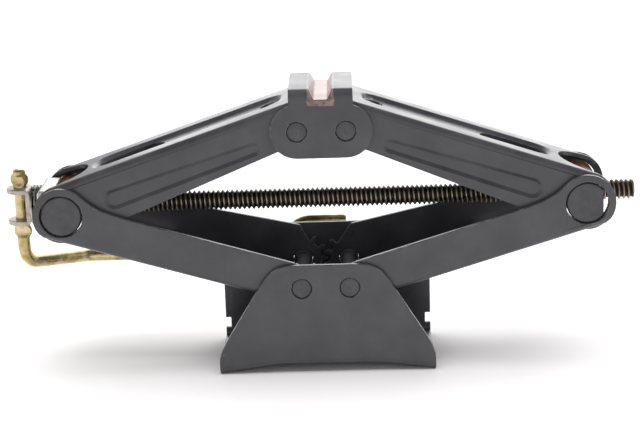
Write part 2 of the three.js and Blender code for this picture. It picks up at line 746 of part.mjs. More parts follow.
function crankRod() {
  const x = -rodAxis;
  const route = bentPath([
    new THREE.Vector3(x, 0, rodTop),
    new THREE.Vector3(x, 0, -rodTurn),
    new THREE.Vector3(x + rodDiagonal, rodSetback, -rodDrop),
    new THREE.Vector3(x + gripStart, rodSetback, -rodDrop),
    new THREE.Vector3(x + gripStart + gripRise, gripSetback, -rodDrop + gripRise),
    new THREE.Vector3(x + gripEnd, gripSetback, -rodDrop + gripRise)
  ], rodBend);
  const section = new THREE.Shape().absarc(0, 0, rodRadius, 0, 2 * Math.PI, false);
  const options = { steps: 44, curveSegments: 4, bevelEnabled: false, extrudePath: route };
  const rod = solidOf(new THREE.ExtrudeGeometry(section, options));
  const ears = [1, -1].map((side) => {
    const ear = new THREE.CylinderGeometry(earHalfWidth, earHalfWidth, 2 * earHalfThickness, 12);
    ear.scale(1, 1, earHeight / 2 / earHalfWidth);
    ear.translate(x, 0, side * (yokeHalfHeight + earStandoff + earHeight / 2));
    return solidOf(ear);
  });
  return meshOf('crank_rod', unite([rod, ...ears]), yellowZinc);
}

// ---- Assembly -----------------------------------------------------------

const jack = new THREE.Group();
jack.add(baseBracket());
jack.add(headBracket());

[['left', -1], ['right', 1]].forEach(([hand, side]) => {
  const x = side * pitchRadius;
  jack.add(pivotPin(`base_pin_${hand}`, x, pinHeight, baseHalfWidth, lowerInner));
  jack.add(pivotPin(`head_pin_${hand}`, x, headPinZ, headHalfWidth, upperInner));

  // One side of the linkage, seen from its trunnion. The right side is turned
  // half round, and its teeth are half a pitch out, so that they mesh.
  const linkage = new THREE.Group();
  linkage.position.set(side * trunnionX, 0, trunnionZ);
  linkage.rotation.z = side > 0 ? Math.PI : 0;
  const phase = side > 0 ? 0.5 : 0;
  const lower = lowerArm(`lower_arm_${hand}`, phase, -side);
  lower.rotation.y = restAngle;
  const upper = upperArm(`upper_arm_${hand}`, phase);
  const flipped = new THREE.Group();
  flipped.rotation.x = Math.PI;
  upper.rotation.y = restAngle;
  flipped.add(upper);
  linkage.add(lower, flipped);
  jack.add(linkage);
});

const bearingSide = new THREE.Group();
bearingSide.position.set(-trunnionX, 0, trunnionZ);
bearingSide.add(bearingTrunnion(), thrustBlock());
bearingSide.add(thrustRace('thrust_race_inner', blockFace + gap));
bearingSide.add(...thrustBalls(), thrustCage());
bearingSide.add(thrustRace('thrust_race_outer', outerRaceStart));
bearingSide.add(leadScrew(), screwCollar(), crankYoke(), crankRod());
jack.add(bearingSide);

const nut = nutTrunnion();
nut.position.set(trunnionX, 0, trunnionZ);
jack.add(nut);

export default jack;
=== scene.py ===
import logging
import math
from dataclasses import dataclass, replace
from enum import Enum
from typing import Any

import bmesh
import bpy
import numpy as np
from mathutils import Matrix, Vector


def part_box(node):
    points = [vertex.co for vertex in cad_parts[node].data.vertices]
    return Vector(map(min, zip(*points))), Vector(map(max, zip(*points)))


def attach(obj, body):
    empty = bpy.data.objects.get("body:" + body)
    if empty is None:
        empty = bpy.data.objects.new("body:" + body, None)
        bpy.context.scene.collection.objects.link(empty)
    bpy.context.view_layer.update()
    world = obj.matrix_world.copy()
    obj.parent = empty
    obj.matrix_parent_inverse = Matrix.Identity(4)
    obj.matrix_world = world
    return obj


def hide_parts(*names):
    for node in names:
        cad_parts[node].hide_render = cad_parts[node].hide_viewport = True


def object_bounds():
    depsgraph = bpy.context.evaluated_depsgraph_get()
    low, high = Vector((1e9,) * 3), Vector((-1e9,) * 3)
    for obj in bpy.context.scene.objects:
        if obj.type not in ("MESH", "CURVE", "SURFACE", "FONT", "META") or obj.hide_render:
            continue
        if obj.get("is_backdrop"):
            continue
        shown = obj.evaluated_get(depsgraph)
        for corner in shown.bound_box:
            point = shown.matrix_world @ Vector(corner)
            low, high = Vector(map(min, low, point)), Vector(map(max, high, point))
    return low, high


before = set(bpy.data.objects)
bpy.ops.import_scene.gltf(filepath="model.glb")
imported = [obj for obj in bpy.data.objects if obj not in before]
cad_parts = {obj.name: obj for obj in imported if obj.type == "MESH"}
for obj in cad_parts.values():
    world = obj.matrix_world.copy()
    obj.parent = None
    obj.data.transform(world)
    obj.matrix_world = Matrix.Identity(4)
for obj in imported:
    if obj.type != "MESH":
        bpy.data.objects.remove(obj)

log = logging.getLogger("scissor_jack")

MM = 0.001

# Vertices, one a row in metres, and faces as lists of vertex numbers.
Surface = tuple[np.ndarray, list[list[int]]]

# Through the washers and the collar, in millimetres.
BORE_RADIUS = 6.75

# Points of a copied mesh that lie this close are one, in millimetres.
SAME_POINT = 0.02
# Faces that bend less than this lie in one plane; a mesh edge is sharp, and a piece's
# edge is broken, where it bends more than these, in degrees.
FLAT_BEND = 0.5
SHARP_BEND = 33.0
BROKEN_BEND = 50.0

# The noise values over which a finish runs from gloss to dull, and through its tints.
DULL_FROM, DULL_TO = 0.35, 0.65
TINTS_FROM, TINTS_TO = 0.32, 0.68
# The noise value above which a coat without chips would be gone, and the chips' soft rim.
WHOLE_COAT = 0.78
CHIP_RIM = 0.02
# Where a rubbed box is whole and where it is bare, in half widths plus half the noise.
RUB_NONE, RUB_BARE = 1.3, 1.15
RUB_RAGGED = 0.5


# ---- Colours and nodes ----------------------------------------------------


def linear(hex_colour: str) -> tuple[float, float, float, float]:
    """Turns an sRGB hex value to a linear colour.

    Args:
        hex_colour: A value such as "#c8b080".

    Returns:
        The linear red, green, blue and an alpha of one.
    """
    parts = np.array([int(hex_colour[i : i + 2], 16) / 255 for i in (1, 3, 5)])
    curved = np.where(parts <= 0.04045, parts / 12.92, ((parts + 0.055) / 1.055) ** 2.4)
    return (*curved.tolist(), 1.0)


def add_node(
    tree: bpy.types.NodeTree, kind: str, inputs: dict[Any, Any], **settings: Any
) -> bpy.types.Node:
    """Adds one node with its settings, and fills or links its inputs.

    Args:
        tree: The material's node tree.
        kind: The node's type name.
        inputs: Socket name or number, to a constant or to another node's output.
        settings: Values of the node's own properties.

    Returns:
        The new node.
    """
    node = tree.nodes.new(kind)
    for key, value in settings.items():
        setattr(node, key, value)
    for key, value in inputs.items():
        if isinstance(value, bpy.types.NodeSocket):
            tree.links.new(value, node.inputs[key])
        else:
            node.inputs[key].default_value = value
    return node


# ---- Finishes -------------------------------------------------------------


@dataclass(frozen=True)
class Rub:
    """A soft-edged box, in millimetres, where a coat has been rubbed through."""

    centre: tuple[float, float, float]
    half: tuple[float, float, float]


@dataclass(frozen=True)
class Finish:
    """One real finish: patches of tint, a fine grain, and chips down to what lies below.

    Lengths are in millimetres. A finish's tints are spread over its patches from the first
    to the last, and its roughness runs from gloss to dull over the same patches. Where a
    finish names a piece's attribute, what lies below shows through as much as it says; on
    the thread this bares the rubbed crests and paints a highlight on them.
    """

    name: str
    tints: tuple[str, ...]
    metallic: float
    gloss: float
    dull: float
    patch: float
    grain: float
    depth: float
    chips: float = 0.0
    chip: float = 2.0
    below: str = "#8e8780"
    below_shade: str = "#6f6963"
    below_metallic: float = 0.85
    coat: float = 0.0
    rub: Rub | None = None
    worn_and_highlighted_by: str = ""

    def material(self) -> bpy.types.Material:
        """The finish's material, made the first time it is asked for."""
        made = bpy.data.materials.get(self.name)
        return made if made is not None else self._make()

    def _make(self) -> bpy.types.Material:
        """Builds the node tree.

        Returns:
            The new material.
        """
        material = bpy.data.materials.new(self.name)
        material.use_nodes = True
        tree = material.node_tree
        tree.nodes.clear()
        place = add_node(tree, "ShaderNodeTexCoord", {}).outputs["Object"]
        patches = self._noise(tree, place, self.patch, 4.0)
        fine = self._noise(tree, place, self.grain, 2.0)
        colour = self._tinted(tree, patches)
        roughness = add_node(
            tree,
            "ShaderNodeMapRange",
            {"Value": patches, 1: DULL_FROM, 2: DULL_TO, 3: self.gloss, 4: self.dull},
        ).outputs["Result"]
        bare = self._bare(tree, place)
        shader: dict[Any, Any] = {"Metallic": self.metallic}
        if bare is not None:
            shades = {0: fine, 6: linear(self.below_shade), 7: linear(self.below)}
            below = add_node(tree, "ShaderNodeMix", shades, data_type="RGBA").outputs[2]
            colour = add_node(
                tree, "ShaderNodeMix", {0: bare, 6: colour, 7: below}, data_type="RGBA"
            ).outputs[2]
            metals = {"Value": bare, 3: self.metallic, 4: self.below_metallic}
            shader["Metallic"] = add_node(tree, "ShaderNodeMapRange", metals).outputs["Result"]
        bump = add_node(
            tree,
            "ShaderNodeBump",
            {"Height": fine, "Distance": self.depth * MM, "Strength": 1.0},
        )
        shader.update({"Base Color": colour, "Roughness": roughness, "Normal": bump.outputs[0]})
        if self.coat > 0:
            shader.update({"Coat Weight": self.coat, "Coat Roughness": 0.12})
        surface = add_node(tree, "ShaderNodeBsdfPrincipled", shader).outputs[0]
        add_node(tree, "ShaderNodeOutputMaterial", {"Surface": surface})
        return material

    def _noise(
        self, tree: bpy.types.NodeTree, place: bpy.types.NodeSocket, size: float, detail: float
    ) -> bpy.types.NodeSocket:
        """A noise whose blotches are about `size` millimetres across."""
        settings = {"Vector": place, "Scale": 1 / (size * MM), "Detail": detail, "Roughness": 0.6}
        return add_node(tree, "ShaderNodeTexNoise", settings).outputs["Fac"]

    def _tinted(
        self, tree: bpy.types.NodeTree, patches: bpy.types.NodeSocket
    ) -> bpy.types.NodeSocket:
        """Spreads the tints over the patches.

        Args:
            tree: The material's node tree.
            patches: The noise that says how far through the tints each place is.

        Returns:
            The colour socket.
        """
        ramp = add_node(tree, "ShaderNodeValToRGB", {"Fac": patches})
        stops = ramp.color_ramp.elements
        places = np.linspace(TINTS_FROM, TINTS_TO, len(self.tints))
        for number, (tint, at) in enumerate(zip(self.tints, places)):
            stop = stops[number] if number < 2 else stops.new(float(at))
            stop.position = float(at)
            stop.color = linear(tint)
        return ramp.outputs["Color"]

    def _bare(
        self, tree: bpy.types.NodeTree, place: bpy.types.NodeSocket
    ) -> bpy.types.NodeSocket | None:
        """Where the coat is gone: a piece's attribute when one is named (on the thread it also
        paints the crests' highlight), else small chips and the rubbed box with a ragged rim.

        Args:
            tree: The material's node tree.
            place: The object coordinates.

        Returns:
            A mask of zero to one, or None when the coat is whole.
        """
        if self.worn_and_highlighted_by:
            worn = {"attribute_name": self.worn_and_highlighted_by}
            return add_node(tree, "ShaderNodeAttribute", {}, **worn).outputs["Fac"]
        if self.chips <= 0 and self.rub is None:
            return None
        spots = self._noise(tree, place, self.chip, 3.0)
        edge = WHOLE_COAT - self.chips
        mask = add_node(
            tree, "ShaderNodeMapRange", {"Value": spots, 1: edge, 2: edge + CHIP_RIM}
        ).outputs["Result"]
        if self.rub is None:
            return mask
        centre = tuple(value * MM for value in self.rub.centre)
        half = tuple(value * MM for value in self.rub.half)
        off = add_node(tree, "ShaderNodeVectorMath", {0: place, 1: centre}, operation="SUBTRACT")
        size = add_node(tree, "ShaderNodeVectorMath", {0: off.outputs[0]}, operation="ABSOLUTE")
        share = add_node(
            tree, "ShaderNodeVectorMath", {0: size.outputs[0], 1: half}, operation="DIVIDE"
        )
        axes = add_node(tree, "ShaderNodeSeparateXYZ", {0: share.outputs[0]}).outputs
        flat = add_node(tree, "ShaderNodeMath", {0: axes[0], 1: axes[1]}, operation="MAXIMUM")
        pair = {0: flat.outputs[0], 1: axes[2]}
        far = add_node(tree, "ShaderNodeMath", pair, operation="MAXIMUM")
        mix = {0: spots, 1: RUB_RAGGED, 2: far.outputs[0]}
        ragged = add_node(tree, "ShaderNodeMath", mix, operation="MULTIPLY_ADD")
        rubbed = add_node(
            tree, "ShaderNodeMapRange", {"Value": ragged.outputs[0], 1: RUB_NONE, 2: RUB_BARE}
        )
        both = {0: mask, 1: rubbed.outputs["Result"]}
        return add_node(tree, "ShaderNodeMath", both, operation="MAXIMUM").outputs[0]


# Black stoving enamel sprayed on pressed sheet steel and baked. The eye sees a semi-gloss
# charcoal with a very slight orange peel, faint dusty patches and a few pinhead chips.
STOVE_ENAMEL = Finish(
    name="black_stoving_enamel_on_pressed_steel",
    tints=("#313135", "#3a3a3e", "#424247"),
    metallic=0.0,
    gloss=0.3,
    dull=0.42,
    patch=26.0,
    grain=1.1,
    depth=0.012,
    chips=0.02,
    chip=2.2,
    below="#a9a29b",
    coat=0.25,
)
# The same enamel drawn thin over a sheared edge, where handling polishes it and steel shows;
# its pale tints also paint the thin highlight that light lays along every broken edge.
ENAMEL_EDGE_WITH_PAINTED_HIGHLIGHT = Finish(
    name="thin_enamel_with_painted_highlight_on_sheared_edge",
    tints=("#38383b", "#424245", "#75716f"),
    metallic=0.1,
    gloss=0.22,
    dull=0.4,
    patch=6.0,
    grain=0.6,
    depth=0.01,
    below="#c7c0b8",
    chips=0.08,
    chip=1.5,
)
# The enamelled head, worn through in its notch to steel with a pinkish bloom of rust.
RUBBED_SADDLE = replace(
    STOVE_ENAMEL,
    name="stoving_enamel_rubbed_through_at_saddle",
    below="#c09d92",
    below_shade="#4a3631",
    below_metallic=0.2,
    rub=Rub(centre=(0.0, 0.0, 170.6), half=(8.0, 33.5, 5.2)),
)
# Turned steel ends that caught the overspray: a dull grey film that shows turning marks.
OVERSPRAYED_END = Finish(
    name="oversprayed_turned_pin_end",
    tints=("#38383b", "#424246", "#4b4b4e"),
    metallic=0.1,
    gloss=0.36,
    dull=0.5,
    patch=7.0,
    grain=0.8,
    depth=0.02,
    chips=0.05,
    chip=1.6,
    below="#9a938b",
)
# The chamfer of a pin end, where the film has flaked and bright steel shows; its pale tints
# also paint the highlight that the chamfer catches from the light.
FLAKED_CHAMFER_WITH_PAINTED_HIGHLIGHT = Finish(
    name="flaked_paint_on_pin_chamfer",
    tints=("#2b2a2b", "#5a5552", "#b9b2aa"),
    metallic=0.6,
    gloss=0.25,
    dull=0.42,
    patch=3.5,
    grain=0.5,
    depth=0.02,
)
# Turned steel under old bearing grease: brown-black, wet in places, reddish where it dried.
GREASED_STEEL = Finish(
    name="greased_turned_steel",
    tints=("#241610", "#5b3727", "#96583b"),
    metallic=0.55,
    gloss=0.22,
    dull=0.5,
    patch=6.0,
    grain=0.9,
    depth=0.03,
)
# Rolled and oiled screw thread: dark steel with a brown film, and bright crests that are
# rubbed steel and also a painted highlight for the light that the crests catch.
OILED_THREAD_WITH_PAINTED_CREST_HIGHLIGHT = Finish(
    name="oiled_rolled_thread_with_painted_crest_highlight",
    tints=("#15120f", "#231d18", "#3a3028"),
    metallic=0.6,
    gloss=0.24,
    dull=0.42,
    patch=4.0,
    grain=0.5,
    depth=0.01,
    below="#b5aa9b",
    below_shade="#8a7d6c",
    below_metallic=0.95,
    worn_and_highlighted_by="crest",
)
# Yellow chromate over zinc on drawn wire: gold that drifts to olive and a pinkish white.
YELLOW_CHROMATE = Finish(
    name="yellow_chromated_zinc_on_drawn_rod",
    tints=("#84804f", "#b3a069", "#d2c29a", "#cfb7a2"),
    metallic=0.9,
    gloss=0.2,
    dull=0.34,
    patch=16.0,
    grain=0.8,
    depth=0.012,
    chips=0.03,
    chip=1.8,
    below="#cfcac2",
)
# Barrel-plated zinc on a bent strip, dulled by a fine crystal bloom.
DULL_ZINC = Finish(
    name="dull_barrel_plated_zinc",
    tints=("#8f8a80", "#b0aa9e", "#c2bdb2"),
    metallic=0.85,
    gloss=0.32,
    dull=0.5,
    patch=5.0,
    grain=0.5,
    depth=0.02,
)
# Clear-passivated zinc on a machined block: bright, with a warm cast.
BRIGHT_ZINC = Finish(
    name="bright_passivated_zinc_block",
    tints=("#a9a398", "#c9c4b9", "#dcd7cd"),
    metallic=0.8,
    gloss=0.25,
    dull=0.4,
    patch=6.0,
    grain=0.5,
    depth=0.015,
)
# Hardened and polished bearing steel, almost a mirror under a trace of oil.
BEARING_STEEL = Finish(
    name="polished_bearing_steel",
    tints=("#9d9a94", "#bbb8b2"),
    metallic=1.0,
    gloss=0.12,
    dull=0.25,
    patch=3.0,
    grain=0.4,
    depth=0.005,
)
# Seamless white studio paper: dead matt, with barely a change of tint across it.
MATT_PAPER = Finish(
    name="matt_white_paper",
    tints=("#f6f3f3", "#faf8f8"),
    metallic=0.0,
    gloss=0.7,
    dull=0.9,
    patch=300.0,
    grain=5.0,
    depth=0.01,
)


class Slot(Enum):
    """The material slots' names."""

    PAINT = "black_paint"
    STEEL = "dark_steel"
    BRIGHT = "bright_zinc"
    GREY = "grey_zinc"
    YELLOW = "yellow_zinc"


class Axis(Enum):
    """The axis that a turned piece is turned about."""

    X = 0
    Y = 1


# ---- Surfaces -------------------------------------------------------------


def soften(corners: np.ndarray, radius: float, steps: int = 5, closed: bool = False) -> np.ndarray:
    """Rounds the corners of a polyline in a plane or in space.

    A corner C has unit vectors b and a back and ahead along its sides, and a half angle h
    between them. With room = radius / tan(h), its points are
    C + (1 - t)^2 room b + t^2 room a, for t from 0 to 1.

    Args:
        corners: The polyline's corners, one a row.
        radius: The rounding radius.
        steps: Points made at each corner.
        closed: Whether the last corner joins the first.

    Returns:
        The rounded polyline.
    """
    middle = corners if closed else corners[1:-1]
    back = (np.roll(corners, 1, 0) if closed else corners[:-2]) - middle
    ahead = (np.roll(corners, -1, 0) if closed else corners[2:]) - middle
    back_length = np.linalg.norm(back, axis=1, keepdims=True)
    ahead_length = np.linalg.norm(ahead, axis=1, keepdims=True)
    back, ahead = back / back_length, ahead / ahead_length
    cosine = np.clip((back * ahead).sum(1, keepdims=True), -1, 1)
    room = radius / np.tan(np.arccos(cosine) / 2)
    room = np.minimum(room, 0.49 * np.minimum(back_length, ahead_length))[:, None, :]
    t = np.linspace(0, 1, steps)[None, :, None]
    arcs = middle[:, None] + (1 - t) ** 2 * room * back[:, None] + t**2 * room * ahead[:, None]
    line = arcs.reshape(-1, corners.shape[1])
    return line if closed else np.vstack([corners[:1], line, corners[-1:]])


def skin(points: np.ndarray, ring: bool = False) -> Surface:
    """Joins a grid of points into one closed, outward-facing surface.

    Columns go round and close on themselves. Rows close too when `ring` is set; otherwise
    the first and the last row are single points, and triangles fan out from them.

    Args:
        points: Rows by columns by three.
        ring: Whether the last row joins the first.

    Returns:
        The vertices and the faces.
    """
    rows, columns, _ = points.shape
    index = np.arange(rows * columns).reshape(rows, columns)
    if not ring:
        index[0], index[-1] = index[0, 0], index[-1, 0]
    here, beyond = (index, np.roll(index, -1, 0)) if ring else (index[:-1], index[1:])
    quads = np.stack([here, np.roll(here, -1, 1), np.roll(beyond, -1, 1), beyond], -1)
    flat = points.reshape(-1, 3)
    a, b, c, d = (flat[quads[..., corner]] for corner in range(4))
    volume = (np.cross(a, b) * c).sum() + (np.cross(a, c) * d).sum()
    if volume < 0:
        quads = quads[..., ::-1]
    body = quads if ring else quads[1:-1]
    faces = body.reshape(-1, 4).tolist()
    if not ring:
        keep_first, keep_last = ([0, 1, 3], [1, 2, 3]) if volume < 0 else ([0, 2, 3], [0, 1, 2])
        faces += quads[0][:, keep_first].tolist() + quads[-1][:, keep_last].tolist()
    used = np.unique(index)
    fresh = np.zeros(rows * columns, int)
    fresh[used] = np.arange(len(used))
    lookup = fresh.tolist()
    return flat[used], [[lookup[corner] for corner in face] for face in faces]


def lathe(
    profile: np.ndarray, axis: Axis, centre: Vector, around: int, ring: bool = False
) -> Surface:
    """Turns a profile about an axis: each point (r, s) sweeps a circle of radius r at s.

    Args:
        profile: Radius and place along the axis, one point a row, in millimetres.
        axis: What it is turned about.
        centre: A point on the axis, in metres.
        around: How many points a circle has.
        ring: Whether the profile is a closed loop away from the axis.

    Returns:
        The vertices, in metres, and the faces.
    """
    angle = np.linspace(0, 2 * np.pi, around, endpoint=False)
    radius, along = profile[:, :1] * MM, profile[:, 1:] * MM
    across = (radius * np.cos(angle), radius * np.sin(angle))
    length = np.broadcast_to(along, across[0].shape)
    stacked = {Axis.X: (length, *across), Axis.Y: (across[0], length, across[1])}[axis]
    return skin(np.stack(stacked, -1) + np.array(centre), ring)


def gather(surfaces: list[Surface]) -> Surface:
    """Puts several surfaces into one list of vertices and one of faces."""
    starts = np.cumsum([0] + [len(points) for points, _ in surfaces])
    faces = [
        [corner + int(start) for corner in face]
        for start, (_, some) in zip(starts, surfaces)
        for face in some
    ]
    return np.vstack([points for points, _ in surfaces]), faces


def put(name: str, surface: Surface, smooth: float = 40) -> bpy.types.Object:
    """Makes an object at the origin from a surface whose points are in metres.

    Args:
        name: The piece's name.
        surface: Its vertices and faces.
        smooth: Edges flatter than this many degrees are shaded smooth.

    Returns:
        The object, linked to the scene.
    """
    points, faces = surface
    mesh = bpy.data.meshes.new(name)
    mesh.from_pydata(points.tolist(), [], faces)
    mesh.validate()
    return shown(mesh, name, smooth)


def shown(mesh: bpy.types.Mesh, name: str, smooth: float) -> bpy.types.Object:
    """Shades a mesh smooth except at its sharp edges, and links an object that shows it.

    Args:
        mesh: The mesh.
        name: The object's name.
        smooth: Edges flatter than this many degrees are shaded smooth.

    Returns:
        The object.
    """
    mesh.shade_smooth()
    mesh.set_sharp_from_angle(angle=math.radians(smooth))
    piece = bpy.data.objects.new(name, mesh)
    bpy.context.scene.collection.objects.link(piece)
    return piece


def merged(node: str) -> bmesh.types.BMesh:
    """A copy of a CAD node's mesh with its loose triangles joined into flat faces.

    Args:
        node: The CAD node's name.

    Returns:
        The copy, to be reshaped and then passed to `settle`.
    """
    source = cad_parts[node].data
    points = np.empty(len(source.vertices) * 3)
    source.vertices.foreach_get("co", points)
    corners = np.empty(len(source.loops), int)
    source.loops.foreach_get("vertex_index", corners)
    mesh = bpy.data.meshes.new(node + "_copy")
    mesh.from_pydata(points.reshape(-1, 3).tolist(), [], corners.reshape(-1, 3).tolist())
    shape = bmesh.new()
    shape.from_mesh(mesh)
    bpy.data.meshes.remove(mesh)
    bmesh.ops.remove_doubles(shape, verts=shape.verts, dist=SAME_POINT * MM)
    flatten(shape)
    return shape


def flatten(shape: bmesh.types.BMesh) -> None:
    """Joins the faces of a mesh that lie in one plane."""
    bmesh.ops.dissolve_degenerate(shape, edges=shape.edges, dist=SAME_POINT * MM)
    bend = math.radians(FLAT_BEND)
    bmesh.ops.dissolve_limit(shape, angle_limit=bend, verts=shape.verts, edges=shape.edges)


def settle(
    shape: bmesh.types.BMesh, name: str, edge: float, edge_slot: int = 1
) -> bpy.types.Object:
    """Makes a pressed or machined piece of a reshaped copy, and breaks its sharp edges.

    Args:
        shape: The copy.
        name: The piece's name.
        edge: How far its edges are broken, in millimetres.
        edge_slot: The material slot that the broken edges take.

    Returns:
        The object, with its bevel left live.
    """
    mesh = bpy.data.meshes.new(name)
    shape.to_mesh(mesh)
    shape.free()
    piece = shown(mesh, name, SHARP_BEND)
    bevel = piece.modifiers.new("broken_edges", "BEVEL")
    bevel.width = edge * MM
    bevel.segments = 2
    bevel.limit_method = "ANGLE"
    bevel.angle_limit = math.radians(BROKEN_BEND)
    bevel.use_clamp_overlap = False
    # The broken edges take their own finish, which on the enamelled pieces paints a pale highlight.
    bevel.material = edge_slot
    normals = piece.modifiers.new("flat_faces_stay_flat", "WEIGHTED_NORMAL")
    normals.weight = 100
    normals.keep_sharp = True
    return piece


def finished(
    piece: bpy.types.Object, body: str, slot: Slot, nodes: tuple[str, ...], *finishes: Finish
) -> bpy.types.Object:
    """Dresses a piece, hangs it on its body and hides the CAD nodes that it stands for.

    Args:
        piece: The piece.
        body: The body that it rides on.
        slot: A material slot; not used.
        nodes: The CAD nodes that it replaces.
        finishes: Its finishes, in the order of its material slots.

    Returns:
        The same piece.
    """
    for finish in finishes:
        piece.data.materials.append(finish.material())
    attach(piece, body)
    if nodes:
        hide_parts(*nodes)
    log.info("%s: %d faces on %s", piece.name, len(piece.data.polygons), body)
    return piece


def middle_of(node: str) -> Vector:
    """The middle of a CAD node's box, in metres."""
    low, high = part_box(node)
    return (low + high) / 2


def washer(node: str, rounding: float, around: int) -> Surface:
    """A ring about X with rounded edges, as long and as wide as a CAD node.

    Args:
        node: The CAD node.
        rounding: The rounding of its edges, in millimetres.
        around: How many points a circle has.

    Returns:
        Its vertices and faces.
    """
    low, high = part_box(node)
    outer, near, far = (high.z - low.z) / 2 / MM, low.x / MM, high.x / MM
    corners = np.array([(BORE_RADIUS, near), (outer, near), (outer, far), (BORE_RADIUS, far)])
    centre = Vector((0, 0, middle_of(node).z))
    return lathe(soften(corners, rounding, 4, closed=True), Axis.X, centre, around, ring=True)


# ---- Base, head and their pins --------------------------------------------


@dataclass
class Brackets:
    """The folded base and the folded head."""

    edge: float = 0.45

    def build(self) -> None:
        """Makes and dresses both brackets."""
        base = settle(merged("base_bracket"), "folded_base", self.edge)
        finished(base, "base", Slot.PAINT, ("base_bracket",), STOVE_ENAMEL, ENAMEL_EDGE_WITH_PAINTED_HIGHLIGHT)
        head = settle(merged("head_bracket"), "folded_head", self.edge)
        finished(head, "head", Slot.PAINT, ("head_bracket",), RUBBED_SADDLE, ENAMEL_EDGE_WITH_PAINTED_HIGHLIGHT)


@dataclass
class PivotPins:
    """The four riveted pins: thick ends in the plates, a thinner shank between them."""

    end_radius: float = 6.1
    shank_radius: float = 4.3
    dimple_radius: float = 1.5
    dimple_depth: float = 0.5
    base_inner: float = 30.0
    head_inner: float = 25.6
    play: float = 0.3
    rounding: float = 0.5
    around: int = 40

    def build(self) -> None:
        """Makes the pins of the base and of the head."""
        for body, inner in (("base", self.base_inner), ("head", self.head_inner)):
            for hand in ("left", "right"):
                self._pin(f"{body}_pin_{hand}", body, inner)

    def _pin(self, node: str, body: str, inner: float) -> None:
        """Turns one pin about Y from half of its profile and that half's mirror image.

        Args:
            node: The CAD pin.
            body: What it rides on.
            inner: From the middle plane to the arms' inner faces, in millimetres.
        """
        low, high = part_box(node)
        end = (high.y - low.y) / 2 / MM
        shoulder = inner - self.play
        half = np.array(
            [
                (0.0, -end + self.dimple_depth),
                (self.dimple_radius, -end),
                (self.end_radius, -end),
                (self.end_radius, -shoulder),
                (self.shank_radius, -shoulder),
            ]
        )
        whole = np.vstack([half, half[::-1] * (1, -1)])
        profile = soften(whole, self.rounding, 4)
        surface = lathe(profile, Axis.Y, middle_of(node), self.around)
        name = node.replace("_pin_", "_riveted_pin_")
        finished(put(name, surface), body, Slot.PAINT, (node,), OVERSPRAYED_END)


# ---- Arms -----------------------------------------------------------------


